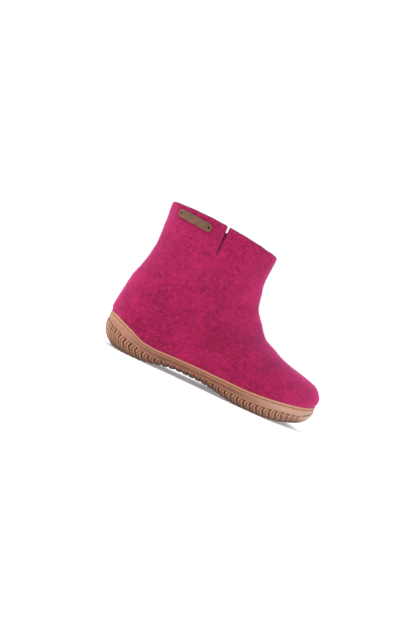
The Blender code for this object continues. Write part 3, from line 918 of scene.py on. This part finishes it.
bpy.ops.object.select_all(action="DESELECT")
bpy.ops.mesh.primitive_uv_sphere_add(segments=12, ring_count=8, radius=KNOT_SIZE)
stitches = bpy.context.object
stitches.name = "tag_stitches"
bpy.ops.object.mode_set(mode="EDIT")
bpy.ops.transform.resize(value=(1, KNOT_FLAT, 1))
bpy.ops.object.mode_set(mode="OBJECT")
rings = sorted({round(face.center.z, 6) for face in stitches.data.polygons})
for face in stitches.data.polygons:
    face.select = rings.index(round(face.center.z, 6)) % 2 == 1
bpy.ops.object.mode_set(mode="EDIT")
bpy.ops.mesh.inset(thickness=TURN_RISE, depth=TURN_RISE)
bpy.ops.object.mode_set(mode="OBJECT")
apply_modifier(stitches, "SUBSURF", levels=1, render_levels=1)
bpy.ops.object.shade_smooth()
print("the knot has", len(rings), "rings of faces")

# %% Set a knot in each hole
Knot = namedtuple("Knot", "along across up")
KNOTS = [Knot(29.4, -27.0, 168.2), Knot(63.8, -38.9 - CURL * 0.8, 164.2)]


def knot_place(knot):
    return Vector((knot.along - LENGTH / 2, knot.across, knot.up)) * MM


stitches.location = knot_place(KNOTS[0])
bpy.ops.object.duplicate()
bpy.context.object.location = knot_place(KNOTS[1])
stitches.select_set(True)
bpy.context.view_layer.objects.active = stitches
bpy.ops.object.join()
bpy.ops.object.transform_apply(location=True, rotation=True, scale=True)
print("knots set:", len(KNOTS))

# %% Thread material
PLY = 0.5 * MM


def thread_material():
    """Waxed thread: nearly black, with the twist of its plies and a dull shine of wax."""
    material = new_material("waxed_thread_dark")
    place = add_node(material, "TexCoord", {}).outputs["Object"]
    plies = add_node(material, "TexNoise", {"Scale": 1 / PLY, "Detail": 2},
                     {"Vector": place}).outputs["Fac"]
    shown = add_node(material, "Mix", {"data_type": "RGBA", MIX_A: colour("#080404"),
                                       MIX_B: colour("#170D0A")}, {MIX_FACTOR: plies})
    bump = add_node(material, "Bump", {"Strength": 0.5, "Distance": 0.2 * MM}, {"Height": plies})
    surface = add_node(material, "BsdfPrincipled", {"Roughness": 0.7, "Specular IOR Level": 0.12},
                       {"Base Color": shown.outputs[MIX_RESULT], "Normal": bump.outputs["Normal"]})
    add_node(material, "OutputMaterial", {}, {"Surface": surface.outputs["BSDF"]})
    return material


finish_piece(stitches, thread_material(), "tag_leather")

# %% [markdown]
# ## Stage, light and camera
# A pale paper floor and white surroundings give the even light of a product photograph, and four
# soft boxes above the shoe add a little shade and a bright rim. The camera stands level with the
# middle of the shoe on its outer side and is rolled, because the photograph shows the shoe toe down.

# %% Floor
FLOOR_SIZE = 40
FLOOR_GLOW = 0.25             # the paper is lit through from below, which keeps shadows pale

bpy.ops.object.select_all(action="DESELECT")
bpy.ops.mesh.primitive_plane_add(size=FLOOR_SIZE)
floor = bpy.context.object
floor.name = "floor"
paper = new_material("white_paper_sweep")
paper_surface = add_node(paper, "BsdfPrincipled", {
    "Base Color": colour("#FAFAFA"), "Roughness": 0.9, "Emission Color": colour("#FFFFFF"),
    "Emission Strength": FLOOR_GLOW})
add_node(paper, "OutputMaterial", {}, {"Surface": paper_surface.outputs["BSDF"]})
floor.data.materials.append(paper)

# %% Surroundings
SKY_LIGHT = 0.8               # the surroundings look pure white, but light the shoe less than that

world = bpy.data.worlds.new("white_studio")
world.use_nodes = True
sky = world.node_tree.nodes["Background"]
sky.inputs["Color"].default_value = colour("#FFFFFF")
ray = add_node(world, "LightPath", {})
strength = add_node(world, "Math", {"operation": "MULTIPLY_ADD", 1: 1 - SKY_LIGHT, 2: SKY_LIGHT},
                    {0: ray.outputs["Is Camera Ray"]})
world.node_tree.links.new(strength.outputs["Value"], sky.inputs["Strength"])
bpy.context.scene.world = world
bpy.context.scene.view_settings.view_transform = "Standard"

# %% Soft light
AIM = Vector((-0.0285, 0, 0.0803))     # the middle of the picture
Light = namedtuple("Light", "name place size watts")
LIGHTS = [
    Light("top_box", (-0.3, -0.6, 0.8), 0.7, 4),
    Light("right_box", (0.9, -0.3, 1.0), 0.8, 4.5),
    Light("left_box", (-1.1, -0.1, 0.9), 1.0, 6),
    Light("rim_light", (0.0, 0.9, 1.0), 0.8, 6),
]
for light in LIGHTS:
    lamp = bpy.data.lights.new(light.name, "AREA")
    lamp.size = light.size
    lamp.energy = light.watts
    holder = bpy.data.objects.new(light.name, lamp)
    holder.location = light.place
    holder.rotation_euler = (AIM - holder.location).to_track_quat("-Z", "Y").to_euler()
    bpy.context.scene.collection.objects.link(holder)
print("soft boxes:", len(LIGHTS))

# %% Camera
DISTANCE = 0.9
SENSOR = 36
PICTURE_HEIGHT = 0.7137       # metres that the long side of the picture spans at the shoe
ROLL = radians(24.6)

lens = bpy.data.cameras.new("camera")
lens.sensor_width = SENSOR
lens.lens = SENSOR * DISTANCE / PICTURE_HEIGHT
camera = bpy.data.objects.new("camera", lens)
right = Vector((cos(ROLL), 0, sin(ROLL)))
up = Vector((-sin(ROLL), 0, cos(ROLL)))
back = Vector((0, -1, 0))
turn = Matrix((right, up, back)).transposed().to_4x4()
camera.matrix_world = Matrix.Translation(AIM + back * DISTANCE) @ turn
bpy.context.scene.collection.objects.link(camera)
bpy.context.scene.camera = camera
print("lens", round(lens.lens, 1), "mm at", DISTANCE, "m")
